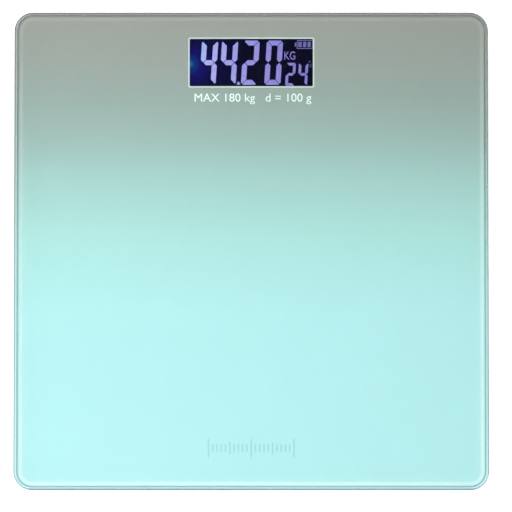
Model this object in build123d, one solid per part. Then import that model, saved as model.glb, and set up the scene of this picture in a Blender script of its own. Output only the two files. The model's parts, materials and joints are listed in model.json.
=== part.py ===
from build123d import *
import os

# A glass bathroom scale: a tempered glass platform on four load-cell feet, with a
# display housing, a battery bay and cable ducts taped to its underside.
# Millimetres. +Z is up, +X to the right and +Y towards the display end, with the origin
# on the floor under the middle of the glass.

os.makedirs("parts", exist_ok=True)

# ---------------------------------------------------------------- glass and print
glass_width = 300.0
glass_depth = 302.0
glass_thickness = 6.0
glass_corner_radius = 12.0
glass_edge_radius = 2.2
overall_height = 25.0

print_gap = 0.05
print_thickness = 0.25
print_margin = glass_edge_radius + 0.2
tape_thickness = 0.4

window_width = 78.0
window_depth = 30.0
window_corner_radius = 1.0
window_from_rear_edge = 31.6

# ---------------------------------------------------------------- foot modules
foot_inset = 38.0
foot_housing_radius = 29.0
foot_flange_width = 2.0
foot_flange_thickness = 1.2
foot_plate_thickness = 2.0
foot_wall = 1.8
foot_edge_chamfer = 0.8
foot_tape_inset = 0.5
skirt_above_floor = 7.0
ledge_thickness = 1.2

cell_side = 34.0
cell_thickness = 2.2
cell_corner_radius = 3.0
cell_seat_height = 1.4
cell_seat_width = 3.0
cell_seat_inset = 0.5
tongue_width = 12.0
tongue_slot = 2.4
tongue_tip = 11.0
tongue_root = 9.0
gauge_length = 6.0
gauge_width = 9.0
gauge_coat_gap = 0.1
clip_wall = 1.5
clip_length = 6.0
clip_hook = 0.8
clip_hook_thickness = 0.8

cup_radius = 24.9
cup_wall = 1.8
cup_floor_thickness = 1.6
cup_above_floor = 2.2
cup_edge_radius = 0.8
cup_lug_reach = 1.8
cup_lug_thickness = 1.1
cup_lug_angle = 40.0
cup_boss_radius = 5.0
cup_rib_thickness = 1.6
cup_rib_drop = 1.2
foot_drop = 0.8
pad_radius = 20.0
pad_edge_radius = 0.6
pad_recess_depth = 1.2
pad_groove_depth = 0.5
pad_groove_width = 1.4
pad_groove_radii = (8.0, 14.0)

# ---------------------------------------------------------------- clearances
slide_clearance = 0.5
stop_clearance = 0.05
seat_clearance = 0.2
joint_clearance = 0.3

# ---------------------------------------------------------------- leads and ducts
wire_radius = 0.55
wire_pitch = 1.5
wire_above_cell = 0.7
wire_bend = 5.0
wire_inner_bend = 3.0
wire_solder_bend = 1.6
wire_solder_from_board_side = 2.5
wire_turn_beyond_board = 5.0
front_solder_from_board_front = 9.0
duct_inner_width = 7.0
duct_wall = 1.5
duct_floor = 1.4
duct_flange_width = 2.0
duct_flange_thickness = 1.0
duct_below_wire = 1.8
duct_entry_from_bay_front = 6.0
duct_end_gap = 0.3

# ---------------------------------------------------------------- display stack
lcd_width = 82.0
lcd_glass_thickness = 1.3
lcd_rear_margin = 2.6
lcd_ledge_margin = 4.6
lcd_ledge = 3.4
gasket_thickness = 0.7
gasket_width = 2.2
gasket_gap = 0.5
guide_thickness = 2.6
guide_side_margin = 2.0
guide_board_gap = 0.2
lamp_width = 1.8
lamp_depth = 5.0
lamp_height = 2.4
lamp_to_guide_gap = 0.1
connector_depth = 2.6
connector_inset = 0.6
connector_side_margin = 3.0
holder_wall = 1.8
holder_below_lcd_top = 0.2

# ---------------------------------------------------------------- display housing
housing_half_width = 62.0
housing_wall = 1.8
housing_floor = 1.8
housing_height = 13.7
housing_corner_radius = 8.0
housing_edge_radius = 1.4
housing_flange_width = 4.0
housing_flange_thickness = 1.2
housing_tape_inset = 0.3
lead_mouth_inside = 5.0
lead_mouth_outside = 10.0

board_half_width = 50.0
board_thickness = 1.6
board_above_housing_floor = 4.6
board_front_margin = 0.8
standoff_radius = 3.0
standoff_hole_radius = 0.9
screw_from_board_side = 3.0
screw_from_board_front = 3.5
screw_from_board_rear = 3.6
screw_head_radius = 2.0
screw_head_height = 1.4
screw_edge_radius = 0.5
screw_shank_radius = 0.9
screw_shank_length = 5.0
screw_hole_radius = 1.3
screw_slot_length = 3.2
screw_slot_width = 0.6
screw_slot_depth = 0.6
chip_x = 14.0
chip_from_board_front = 15.0
chip_drop_radius = 6.0
chip_drop_height = 1.4
chip_drop_edge = 1.2
drum_x = 32.0
drum_from_board_front = 14.0
drum_radius = 2.5
drum_height = 3.2
# Each row: x, distance from the board's front edge, width, depth and height.
small_board_parts = (
    (-18.0, 10.0, 3.2, 1.6, 1.2),
    (-18.0, 14.0, 3.2, 1.6, 1.2),
    (-6.0, 24.0, 2.0, 1.3, 0.8),
    (-1.0, 24.0, 2.0, 1.3, 0.8),
    (4.0, 24.0, 2.0, 1.3, 0.8),
    (26.0, 26.0, 5.0, 2.4, 1.6),
    (40.0, 20.0, 2.9, 1.4, 1.1),
)

# ---------------------------------------------------------------- batteries
aaa_radius = 5.2
aaa_length = 44.5
aaa_nub_radius = 1.9
aaa_nub_length = 0.9
aaa_cap_inset = 0.5
spring_room = 5.7
bay_cell_gap = 0.3
bay_wall = 1.5
bay_front_wall = 2.4
bay_to_board = 2.7
bay_ceiling = 1.0
contact_thickness = 0.4
contact_side = 8.6
contact_tab_width = 2.0
contact_tab_reach = 2.6
contact_tab_above_housing_floor = 2.2
contact_slot_gap = 0.3
bridge_width = 4.0
spring_radius = 2.9
spring_wire_radius = 0.3
spring_turns = 3.0
battery_wire_radius = 0.6
battery_wire_offset = 5.0
battery_wire_spread = 2.0
battery_wire_bend = 3.0
battery_wire_solder_bend = 1.2
battery_solder_from_board_front = 3.0

cover_thickness = 1.6
cover_lip = 1.0
cover_groove_count = 5
cover_groove_width = 0.8
cover_groove_pitch = 2.0
cover_groove_length = 16.0
cover_groove_depth = 0.4
cover_groove_from_tip = 2.5
hinge_barrel_radius = 1.2
hinge_pin_radius = 0.7
hinge_pin_length = 1.7
hinge_pin_clearance = 0.1
hinge_boss_thickness = 2.0
hinge_boss_reach = 2.0
finger_notch_radius = 8.0
finger_notch_depth = 1.0

# ---------------------------------------------------------------- unit button
button_x = -35.0
button_from_board_front = 15.0
button_radius = 3.8
button_proud = 0.7
button_edge_radius = 0.5
button_flange_radius = 5.0
button_flange_thickness = 0.6
plunger_radius = 1.6
plunger_clearance = 0.3
plunger_length = 2.2
switch_side = 6.2
switch_height = 2.8
switch_roof = 0.6

# ---------------------------------------------------------------- levels, from the floor up
glass_bottom = overall_height - glass_thickness
print_top = glass_bottom - print_gap
print_bottom = print_top - print_thickness
module_top = print_bottom - tape_thickness

cell_top = module_top - foot_plate_thickness - cell_seat_height
cell_bottom = cell_top - cell_thickness
ledge_top = skirt_above_floor + ledge_thickness
lug_bottom = ledge_top + foot_drop + stop_clearance
lug_top = lug_bottom + cup_lug_thickness
pad_top = cup_above_floor + pad_recess_depth
cup_floor_top = pad_top + cup_floor_thickness

wire_level = cell_top + wire_above_cell
duct_inside_bottom = wire_level - duct_below_wire
duct_bottom = duct_inside_bottom - duct_floor

housing_above_floor = module_top - housing_height
housing_inside_bottom = housing_above_floor + housing_floor
board_bottom = housing_inside_bottom + board_above_housing_floor
board_top = board_bottom + board_thickness
lcd_top = print_bottom - gasket_thickness
lcd_middle = lcd_top - lcd_glass_thickness
lcd_bottom = lcd_middle - lcd_glass_thickness
guide_bottom = board_top + guide_board_gap
bay_top = module_top - bay_ceiling
cell_axis_level = (housing_above_floor + cover_thickness + bay_top) / 2

# ---------------------------------------------------------------- places in the plan
foot_x = glass_width / 2 - foot_inset
foot_y = glass_depth / 2 - foot_inset
foot_inner_radius = foot_housing_radius - foot_wall
foot_flange_radius = foot_housing_radius + foot_flange_width
seat_outer = cell_side - 2 * cell_seat_inset
ledge_inner_radius = cup_radius + slide_clearance

window_y = glass_depth / 2 - window_from_rear_edge
bay_half_length = (aaa_length + spring_room) / 2 + contact_thickness
lcd_front = window_y - window_depth / 2 - lcd_ledge_margin
lcd_rear = window_y + window_depth / 2 + lcd_rear_margin
lower_glass_front = lcd_front + lcd_ledge
holder_front = lcd_front - seat_clearance - holder_wall
holder_rear = lcd_rear + seat_clearance + holder_wall
board_front = holder_front - board_front_margin
board_rear = holder_rear - seat_clearance
housing_rear = holder_rear + seat_clearance + housing_wall
bay_rear = board_front - bay_to_board - bay_wall
bay_width = 4 * aaa_radius + 3 * bay_cell_gap
bay_front = bay_rear - bay_width
housing_front = bay_front - bay_front_wall
housing_middle_y = (housing_front + housing_rear) / 2
housing_depth = housing_rear - housing_front
battery_y = (
    bay_front + bay_cell_gap + aaa_radius,
    bay_rear - bay_cell_gap - aaa_radius,
)
hinge_y = bay_front + joint_clearance + hinge_barrel_radius
hinge_z = housing_above_floor + hinge_barrel_radius
button_y = board_front + button_from_board_front

housing_flange_x = housing_half_width + housing_flange_width
foot_flange_x = foot_x - foot_flange_radius
duct_line_x = (housing_flange_x + foot_flange_x) / 2
front_entry_y = bay_front + duct_entry_from_bay_front
duct_outer_width = duct_inner_width + 2 * duct_wall
solder_x = board_half_width - wire_solder_from_board_side
front_solder_y = board_front + front_solder_from_board_front
rear_solder_y = foot_y
inner_turn_x = board_half_width + wire_turn_beyond_board

SIDES = (("left", -1), ("right", 1))
ENDS = (("front", -1), ("rear", 1))


def slab(width, depth, low, high, x=0.0, y=0.0, radius=0.0):
    """A flat block between two levels, with rounded upright corners if asked."""
    outline = RectangleRounded(width, depth, radius) if radius else Rectangle(width, depth)
    return Pos(x, y, low) * extrude(outline, amount=high - low)


def block(x_low, x_high, y_low, y_high, low, high):
    """A plain block given by its limits on each axis."""
    middle = ((x_low + x_high) / 2, (y_low + y_high) / 2)
    return slab(x_high - x_low, y_high - y_low, low, high, *middle)


def disc(radius, low, high, x=0.0, y=0.0):
    """An upright cylinder between two levels."""
    return Pos(x, y, low) * extrude(Circle(radius), amount=high - low)


def wire(points, radii, radius):
    """A round wire along straight runs joined by tangent arcs."""
    path = FilletPolyline(*points, radius=radii)
    section = Plane(origin=path @ 0, z_dir=path % 0) * Circle(radius)
    return sweep(section, path=path)


def save(shape, name):
    """Writes one sub-part under its node name."""
    shape.label = name
    export_step(shape, f"parts/{name}.step")


# ---------------------------------------------------------------- platform


def glass_platform():
    glass = slab(glass_width, glass_depth, glass_bottom, overall_height, radius=glass_corner_radius)
    rims = glass.edges().filter_by(Axis.Z, reverse=True)
    return fillet(rims, glass_edge_radius)


def printed_backing():
    film = slab(
        glass_width - 2 * print_margin,
        glass_depth - 2 * print_margin,
        print_bottom,
        print_top,
        radius=glass_corner_radius - print_margin,
    )
    window = slab(
        window_width,
        window_depth,
        print_bottom - 1,
        print_top + 1,
        y=window_y,
        radius=window_corner_radius,
    )
    return film - window


# ---------------------------------------------------------------- foot modules
# Each module is built at the origin with its wires leaving towards +X, then placed.


def cell_clips():
    """Four corner walls that hold the load cell by its edge, with a hook under it."""
    half = cell_side / 2 + seat_clearance
    outer = half + clip_wall
    hook_top = cell_bottom - stop_clearance
    clip_bottom = hook_top - clip_hook_thickness
    top = module_top - foot_plate_thickness
    wall = slab(2 * outer, 2 * outer, clip_bottom, top) - slab(2 * half, 2 * half, clip_bottom, top)
    reach = half - clip_hook
    hook = slab(2 * outer, 2 * outer, clip_bottom, hook_top)
    hook -= slab(2 * reach, 2 * reach, clip_bottom, hook_top)
    middle = outer - clip_length
    keep_out = slab(2 * outer, 2 * middle, clip_bottom, top)
    keep_out += slab(2 * middle, 2 * outer, clip_bottom, top)
    within = disc(foot_inner_radius + foot_wall / 2, clip_bottom, top)
    return ((wall + hook) - keep_out) & within


def foot_housing():
    plate_bottom = module_top - foot_plate_thickness
    shell = disc(foot_housing_radius, skirt_above_floor, module_top)
    shell = chamfer(shell.edges().group_by(Axis.Z)[0], foot_edge_chamfer)
    shell -= disc(foot_inner_radius, ledge_top, plate_bottom)
    shell -= disc(ledge_inner_radius, skirt_above_floor, ledge_top)
    shell += disc(foot_flange_radius, module_top - foot_flange_thickness, module_top)
    seat = slab(seat_outer, seat_outer, cell_top, plate_bottom)
    seat_inner = seat_outer - 2 * cell_seat_width
    seat -= slab(seat_inner, seat_inner, cell_top, plate_bottom)
    shell += seat
    shell += cell_clips()
    mouth = block(
        0,
        foot_flange_radius + 1,
        -duct_inner_width / 2,
        duct_inner_width / 2,
        duct_inside_bottom,
        plate_bottom,
    )
    return shell - mouth


def load_cell():
    """A stamped plate with a slot round three sides of the tongue that the foot pushes."""
    plate = slab(cell_side, cell_side, cell_bottom, cell_top, radius=cell_corner_radius)
    slot_half = tongue_width / 2 + tongue_slot
    slot = block(-tongue_tip - tongue_slot, tongue_root, -slot_half, slot_half, cell_bottom, cell_top)
    tongue = block(
        -tongue_tip, tongue_root, -tongue_width / 2, tongue_width / 2, cell_bottom, cell_top
    )
    return plate - (slot - tongue)


def gauge_coat():
    """The soft coating over the strain gauges, at the root of the tongue."""
    top = module_top - foot_plate_thickness - gauge_coat_gap
    return block(
        tongue_root - gauge_length, tongue_root, -gauge_width / 2, gauge_width / 2, cell_top, top
    )


def foot_cup():
    cup = disc(cup_radius, cup_above_floor, lug_top)
    cup = fillet(cup.edges().group_by(Axis.Z)[0], cup_edge_radius)
    cup -= disc(cup_radius - cup_wall, cup_floor_top, lug_top)
    cup -= disc(pad_radius + seat_clearance, cup_above_floor, pad_top)
    rib_top = lug_top - cup_rib_drop
    rib_half = cup_radius - cup_wall / 2
    for angle in (0, 60, 120):
        rib = slab(2 * rib_half, cup_rib_thickness, cup_floor_top, rib_top)
        cup += Rot(0, 0, angle) * rib
    cup += disc(cup_boss_radius, cup_floor_top, cell_bottom - stop_clearance)
    lug_ring = disc(cup_radius + cup_lug_reach, lug_bottom, lug_top)
    lug_ring -= disc(cup_radius - cup_wall / 2, lug_bottom, lug_top)
    for angle in (45, 135, 225, 315):
        wedge = extrude(
            make_face(Polyline((0, 0), *lug_wedge_corners(), (0, 0))), amount=cup_lug_thickness
        )
        cup += lug_ring & (Pos(0, 0, lug_bottom) * Rot(0, 0, angle) * wedge)
    return cup


def lug_wedge_corners():
    """The far corners of the wedge that cuts one retaining lug out of a ring."""
    reach = 2 * cup_radius
    return [Vector(reach, 0).rotate(Axis.Z, a) for a in (-cup_lug_angle / 2, cup_lug_angle / 2)]


def foot_pad():
    pad = disc(pad_radius, 0, pad_top)
    pad = fillet(pad.edges().group_by(Axis.Z)[0], pad_edge_radius)
    for radius in pad_groove_radii:
        groove = disc(radius + pad_groove_width / 2, 0, pad_groove_depth)
        groove -= disc(radius - pad_groove_width / 2, 0, pad_groove_depth)
        pad -= groove
    return pad


def foot_tape():
    return disc(foot_flange_radius - foot_tape_inset, module_top, print_bottom)


def wire_set(route, radii):
    """Three wires side by side along one route of (x, y, z, shift_x, shift_y) corners."""
    wires = []
    for place in (-1, 0, 1):
        step = place * wire_pitch
        points = [(x + dx * step, y + dy * step, z) for x, y, z, dx, dy in route]
        wires.append(wire(points, radii, wire_radius))
    return wires


def front_lead():
    """From a front load cell up the side duct and into the display housing, on the right."""
    start_x = foot_x - tongue_root
    route = [
        (start_x, -foot_y, wire_level, 0, 1),
        (duct_line_x, -foot_y, wire_level, 1, 1),
        (duct_line_x, front_entry_y, wire_level, 1, 1),
        (inner_turn_x, front_entry_y, wire_level, 1, 1),
        (inner_turn_x, front_solder_y, wire_level, 1, 1),
        (solder_x, front_solder_y, wire_level, 0, 1),
        (solder_x, front_solder_y, board_top, 0, 1),
    ]
    return wire_set(route, [wire_bend] * 3 + [wire_inner_bend, wire_solder_bend])


def rear_lead():
    """From a rear load cell straight into the display housing, on the right."""
    start_x = foot_x - tongue_root
    route = [
        (start_x, rear_solder_y, wire_level, 0, 1),
        (solder_x, rear_solder_y, wire_level, 0, 1),
        (solder_x, rear_solder_y, board_top, 0, 1),
    ]
    return wire_set(route, [wire_solder_bend])


# ---------------------------------------------------------------- ducts, on the right


def duct_runs(end, under_flanges=False):
    """The straight stretches of a duct as (x_low, x_high, y_low, y_high) of its centre line."""
    foot_side = foot_flange_x - duct_end_gap
    housing_side = housing_flange_x + duct_end_gap
    if under_flanges:
        foot_side += foot_flange_width
        housing_side -= housing_flange_width
    if end == "rear":
        return [(housing_side, foot_side, foot_y, foot_y)]
    return [
        (duct_line_x, foot_side, -foot_y, -foot_y),
        (duct_line_x, duct_line_x, -foot_y, front_entry_y),
        (housing_side, duct_line_x, front_entry_y, front_entry_y),
    ]


def duct_strip(end, half_width, low, high, under_flanges=False):
    """A strip of one width along every run of a duct, square at the corners."""
    strip = None
    for x_low, x_high, y_low, y_high in duct_runs(end, under_flanges):
        run = block(
            x_low - (half_width if x_low == duct_line_x else 0),
            x_high + (half_width if x_high == duct_line_x else 0),
            y_low - half_width,
            y_high + half_width,
            low,
            high,
        )
        strip = run if strip is None else strip + run
    return strip


def duct(end):
    """A channel with a flange each side, whose ends reach in under the flanges it meets."""
    body = duct_strip(end, duct_outer_width / 2, duct_bottom, module_top)
    flange_half = duct_outer_width / 2 + duct_flange_width
    body += duct_strip(end, flange_half, module_top - duct_flange_thickness, module_top)
    thickest_flange = max(foot_flange_thickness, housing_flange_thickness)
    reach_top = module_top - thickest_flange - stop_clearance
    body += duct_strip(end, duct_outer_width / 2, duct_bottom, reach_top, under_flanges=True)
    half = duct_inner_width / 2
    body -= duct_strip(end, half, duct_inside_bottom, reach_top, under_flanges=True)
    return body - duct_strip(end, half, duct_inside_bottom, module_top)


def duct_tape(end):
    flange_half = duct_outer_width / 2 + duct_flange_width
    tape = duct_strip(end, flange_half, module_top, print_bottom)
    return tape - duct_strip(end, duct_inner_width / 2, module_top, print_bottom)


# ---------------------------------------------------------------- display housing


def housing_outline(grow, low, high):
    """A slab with the plan of the housing, made larger or smaller all round."""
    return slab(
        2 * (housing_half_width + grow),
        housing_depth + 2 * grow,
        low,
        high,
        y=housing_middle_y,
        radius=housing_corner_radius + grow,
    )


def screw_places():
    x = board_half_width - screw_from_board_side
    ys = (board_front + screw_from_board_front, board_rear - screw_from_board_rear)
    return [(side * x, y) for side in (-1, 1) for y in ys]


def battery_bay_walls():
    return block(
        -bay_half_length - bay_wall,
        bay_half_length + bay_wall,
        bay_front - bay_wall,
        bay_rear + bay_wall,
        housing_inside_bottom,
        module_top,
    )


def battery_bay_space():
    space = block(
        -bay_half_length, bay_half_length, bay_front, bay_rear, housing_above_floor, bay_top
    )
    space += block(
        -bay_half_length,
        bay_half_length,
        bay_rear,
        bay_rear + cover_lip + joint_clearance,
        housing_above_floor,
        housing_inside_bottom,
    )
    return space


def hinge_bosses():
    """Blocks outside the bay walls that take the ends of the cover's pins."""
    bosses = []
    x_low = bay_half_length + bay_wall
    for side in (-1, 1):
        limits = sorted((side * x_low, side * (x_low + hinge_boss_thickness)))
        bosses.append(
            block(
                *limits,
                bay_front - bay_wall,
                hinge_y + hinge_boss_reach,
                housing_inside_bottom,
                hinge_z + hinge_boss_reach,
            )
        )
    return bosses


def lead_mouths():
    """Slots in the side walls where the ducts end."""
    mouths = []
    for side in (-1, 1):
        for y in (front_entry_y, foot_y):
            inside = side * (board_half_width + lead_mouth_inside)
            outside = side * (housing_half_width + lead_mouth_outside)
            limits = sorted((inside, outside))
            mouths.append(
                block(
                    *limits,
                    y - duct_inner_width / 2,
                    y + duct_inner_width / 2,
                    duct_inside_bottom,
                    wire_level + duct_below_wire / 2,
                )
            )
    return mouths


def display_housing():
    shell = housing_outline(0, housing_above_floor, module_top)
    shell = fillet(shell.edges().group_by(Axis.Z)[0], housing_edge_radius)
    shell += housing_outline(
        housing_flange_width, module_top - housing_flange_thickness, module_top
    )
    shell -= housing_outline(-housing_wall, housing_inside_bottom, module_top)
    shell += battery_bay_walls()
    for boss in hinge_bosses():
        shell += boss
    for x, y in screw_places():
        shell += disc(standoff_radius, housing_inside_bottom, board_bottom, x, y)
        shell -= disc(standoff_hole_radius, housing_inside_bottom, board_bottom, x, y)
    shell -= battery_bay_space()
    pin_hole = extrude(
        Plane.YZ * Pos(hinge_y, hinge_z) * Circle(hinge_pin_radius + hinge_pin_clearance),
        amount=bay_half_length + hinge_pin_length + joint_clearance,
        both=True,
    )
    shell -= pin_hole
    shell -= disc(
        button_radius + joint_clearance,
        housing_above_floor,
        housing_inside_bottom,
        button_x,
        button_y,
    )
    notch_y = bay_rear + cover_lip
    notch = disc(
        finger_notch_radius,
        housing_above_floor,
        housing_above_floor + finger_notch_depth,
        0,
        notch_y,
    )
    shell -= notch - block(
        -finger_notch_radius,
        finger_notch_radius,
        notch_y - finger_notch_radius,
        notch_y,
        housing_above_floor,
        housing_above_floor + finger_notch_depth,
    )
    half_tab = contact_tab_width / 2 + contact_slot_gap
    tab_level = housing_inside_bottom + contact_tab_above_housing_floor
    for y in battery_y:
        shell -= block(
            -bay_half_length - bay_wall,
            -bay_half_length,
            y - half_tab,
            y + half_tab,
            tab_level - contact_slot_gap,
            tab_level + contact_thickness + contact_slot_gap,
        )
    for mouth in lead_mouths():
        shell -= mouth
    return shell


def housing_tape():
    ring = housing_outline(housing_flange_width - housing_tape_inset, module_top, print_bottom)
    return ring - housing_outline(-housing_wall, module_top, print_bottom)


# ---------------------------------------------------------------- display stack


def lcd_gasket():
    hole_width = window_width + 2 * gasket_gap
    hole_depth = window_depth + 2 * gasket_gap
    ring = slab(
        hole_width + 2 * gasket_width, hole_depth + 2 * gasket_width, lcd_top, print_bottom, y=window_y
    )
    return ring - slab(hole_width, hole_depth, lcd_top, print_bottom, y=window_y)


def lcd_panel():
    half = lcd_width / 2
    upper = block(-half, half, lcd_front, lcd_rear, lcd_middle, lcd_top)
    return upper + block(-half, half, lower_glass_front, lcd_rear, lcd_bottom, lcd_middle)


def light_guide():
    half = lcd_width / 2 - guide_side_margin
    return block(
        -half,
        half,
        lower_glass_front + connector_inset,
        lcd_rear,
        guide_bottom,
        guide_bottom + guide_thickness,
    )


def backlight_lamp():
    edge = -lcd_width / 2 + guide_side_margin - lamp_to_guide_gap
    return block(
        edge - lamp_width,
        edge,
        window_y - lamp_depth / 2,
        window_y + lamp_depth / 2,
        board_top,
        board_top + lamp_height,
    )


def connector_strip():
    half = lcd_width / 2 - connector_side_margin
    front = lcd_front + connector_inset / 2
    return block(-half, half, front, front + connector_depth, board_top, lcd_middle)


def display_holder():
    inner_half = lcd_width / 2 + seat_clearance
    outer_half = inner_half + holder_wall
    top = lcd_top - holder_below_lcd_top
    frame = block(-outer_half, outer_half, holder_front, holder_rear, board_top, top)
    return frame - block(
        -inner_half,
        inner_half,
        holder_front + holder_wall,
        holder_rear - holder_wall,
        board_top,
        top,
    )


def main_board():
    board = block(
        -board_half_width, board_half_width, board_front, board_rear, board_bottom, board_top
    )
    for x, y in screw_places():
        board -= disc(screw_hole_radius, board_bottom, board_top, x, y)
    return board


def chip_blob():
    """The black epoxy drop over the bonded chip, under the board."""
    low = board_bottom - chip_drop_height
    drop = disc(chip_drop_radius, low, board_bottom, chip_x, board_front + chip_from_board_front)
    return fillet(drop.edges().group_by(Axis.Z)[0], chip_drop_edge)


def board_parts():
    """Capacitors and resistors under the board, each a small block or drum."""
    drum_y = board_front + drum_from_board_front
    parts = [disc(drum_radius, board_bottom - drum_height, board_bottom, drum_x, drum_y)]
    for x, from_front, width, depth, height in small_board_parts:
        parts.append(
            slab(width, depth, board_bottom - height, board_bottom, x, board_front + from_front)
        )
    return parts


def board_screws():
    screws = []
    for x, y in screw_places():
        screw = disc(screw_head_radius, board_top, board_top + screw_head_height, x, y)
        screw = fillet(screw.edges().group_by(Axis.Z)[-1], screw_edge_radius)
        screw += disc(screw_shank_radius, board_top - screw_shank_length, board_top, x, y)
        slot_bottom = board_top + screw_head_height - screw_slot_depth
        slot_top = board_top + screw_head_height
        screw -= slab(screw_slot_length, screw_slot_width, slot_bottom, slot_top, x, y)
        screw -= slab(screw_slot_width, screw_slot_length, slot_bottom, slot_top, x, y)
        screws.append(screw)
    return screws


# ---------------------------------------------------------------- batteries


def aaa_cell(y, plus_side):
    """One cell lying along X, its nub against the contact on the plus side."""
    plus_end = plus_side * (bay_half_length - contact_thickness)
    body_end = plus_end - plus_side * aaa_nub_length
    far_end = plus_end - plus_side * aaa_length
    low, high = sorted((body_end, far_end))
    body = Plane.YZ.offset(low) * Pos(y, cell_axis_level) * Circle(aaa_radius)
    cell = fillet(extrude(body, amount=high - low).edges(), aaa_cap_inset)
    nub_low, nub_high = sorted((body_end, plus_end))
    nub = Plane.YZ.offset(nub_low) * Pos(y, cell_axis_level) * Circle(aaa_nub_radius)
    return cell + extrude(nub, amount=nub_high - nub_low)


def contact_plate(y, side):
    """A nickelled plate against an end wall of the bay."""
    limits = sorted((side * bay_half_length, side * (bay_half_length - contact_thickness)))
    half = contact_side / 2
    return block(*limits, y - half, y + half, cell_axis_level - half, cell_axis_level + half)


def contact_spring(y, side):
    """The coil that pushes on the flat end of a cell."""
    plate_face = bay_half_length - contact_thickness
    room = 2 * plate_face - aaa_length
    length = room - 2 * spring_wire_radius - stop_clearance
    path = Helix(pitch=length / spring_turns, height=length, radius=spring_radius)
    section = Plane(origin=path @ 0, z_dir=path % 0) * Circle(spring_wire_radius)
    coil = sweep(section, path=path, is_frenet=True)
    start = side * (plate_face - spring_wire_radius)
    return Pos(start, y, cell_axis_level) * Rot(0, -90 * side, 0) * coil


def contact_tab(y):
    """The tail of a left contact, through the wall of the bay to its lead."""
    low = housing_inside_bottom + contact_tab_above_housing_floor
    half = contact_tab_width / 2
    reach = bay_half_length + bay_wall + contact_tab_reach
    return block(-reach, -bay_half_length, y - half, y + half, low, low + contact_thickness)


def battery_leads():
    """Two wires from the contact tails to the underside of the board."""
    tail_x = -bay_half_length - bay_wall - contact_tab_reach
    level = housing_inside_bottom + contact_tab_above_housing_floor + contact_thickness / 2
    wires = []
    for y, extra in zip(battery_y, (battery_wire_spread, 0.0)):
        turn_x = tail_x - battery_wire_offset - extra
        solder_y = board_front + battery_solder_from_board_front
        route = [
            (tail_x, y, level),
            (turn_x, y, level),
            (turn_x, solder_y, level),
            (turn_x, solder_y, board_bottom),
        ]
        bends = [battery_wire_bend, battery_wire_solder_bend]
        wires.append(wire(route, bends, battery_wire_radius))
    return wires


def battery_cover():
    """The door of the bay: a plate with a round hinge edge and a pin at each end of it."""
    half = bay_half_length - joint_clearance
    tip = bay_rear + cover_lip
    plate = block(
        -half, half, hinge_y, tip, housing_above_floor, housing_above_floor + cover_thickness
    )
    barrel_face = Plane.YZ.offset(-half) * Pos(hinge_y, hinge_z) * Circle(hinge_barrel_radius)
    plate += extrude(barrel_face, amount=2 * half)
    pin_reach = bay_half_length + hinge_pin_length
    pin_face = Plane.YZ.offset(-pin_reach) * Pos(hinge_y, hinge_z) * Circle(hinge_pin_radius)
    plate += extrude(pin_face, amount=2 * pin_reach)
    first = tip - cover_groove_from_tip
    for number in range(cover_groove_count):
        y = first - number * cover_groove_pitch
        plate -= block(
            -cover_groove_length / 2,
            cover_groove_length / 2,
            y - cover_groove_width,
            y,
            housing_above_floor,
            housing_above_floor + cover_groove_depth,
        )
    return plate


# ---------------------------------------------------------------- unit button


def unit_button():
    bottom = housing_above_floor - button_proud
    flange_low = housing_inside_bottom + joint_clearance
    flange_high = flange_low + button_flange_thickness
    cap = disc(button_radius, bottom, flange_low, button_x, button_y)
    cap = fillet(cap.edges().group_by(Axis.Z)[0], button_edge_radius)
    cap += disc(button_flange_radius, flange_low, flange_high, button_x, button_y)
    return cap


def switch_plunger():
    low = housing_inside_bottom + joint_clearance + button_flange_thickness
    return disc(plunger_radius, low, low + plunger_length, button_x, button_y)


def unit_switch():
    bottom = board_bottom - switch_height
    body = slab(switch_side, switch_side, bottom, board_bottom, button_x, button_y)
    return body - disc(
        plunger_radius + plunger_clearance, bottom, board_bottom - switch_roof, button_x, button_y
    )


# ---------------------------------------------------------------- write every sub-part


def save_foot_modules():
    """Four modules, the right ones turned so that their wires leave towards the middle."""
    for end, y_sign in ENDS:
        for side, x_sign in SIDES:
            turn = Rot(0, 0, 180) if x_sign > 0 else Rot(0, 0, 0)
            place = Pos(x_sign * foot_x, y_sign * foot_y, 0) * turn
            save(place * foot_housing(), f"foot_housing_{end}_{side}")
            save(place * load_cell(), f"load_cell_{end}_{side}")
            save(place * gauge_coat(), f"gauge_coat_{end}_{side}")
            save(place * foot_cup(), f"foot_cup_{end}_{side}")
            save(place * foot_pad(), f"foot_pad_{end}_{side}")
            save(place * foot_tape(), f"foot_tape_{end}_{side}")


def save_wiring():
    """Leads and ducts, drawn on the right and mirrored for the left."""
    makers = {"front": front_lead, "rear": rear_lead}
    for end, maker in makers.items():
        lead = Compound(maker())
        save(lead, f"lead_{end}_right")
        save(mirror(lead, Plane.YZ), f"lead_{end}_left")
        save(duct(end), f"duct_{end}_right")
        save(mirror(duct(end), Plane.YZ), f"duct_{end}_left")
    tapes = [duct_tape(end) for end in makers]
    tapes += [mirror(tape, Plane.YZ) for tape in tapes]
    save(Compound(tapes), "duct_tapes")


def save_platform():
    save(glass_platform(), "glass_platform")
    save(printed_backing(), "printed_backing")
    save(display_housing(), "display_housing")
    save(housing_tape(), "housing_tape")


def save_display():
    save(lcd_gasket(), "lcd_gasket")
    save(lcd_panel(), "lcd_panel")
    save(light_guide(), "light_guide")
    save(backlight_lamp(), "backlight_lamp")
    save(connector_strip(), "connector_strip")
    save(display_holder(), "display_holder")
    save(main_board(), "main_board")
    save(chip_blob(), "chip_blob")
    save(Compound(board_parts()), "board_parts")
    save(Compound(board_screws()), "board_screws")
    save(unit_switch(), "unit_switch")
    save(switch_plunger(), "switch_plunger")
    save(unit_button(), "unit_button")


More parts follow.
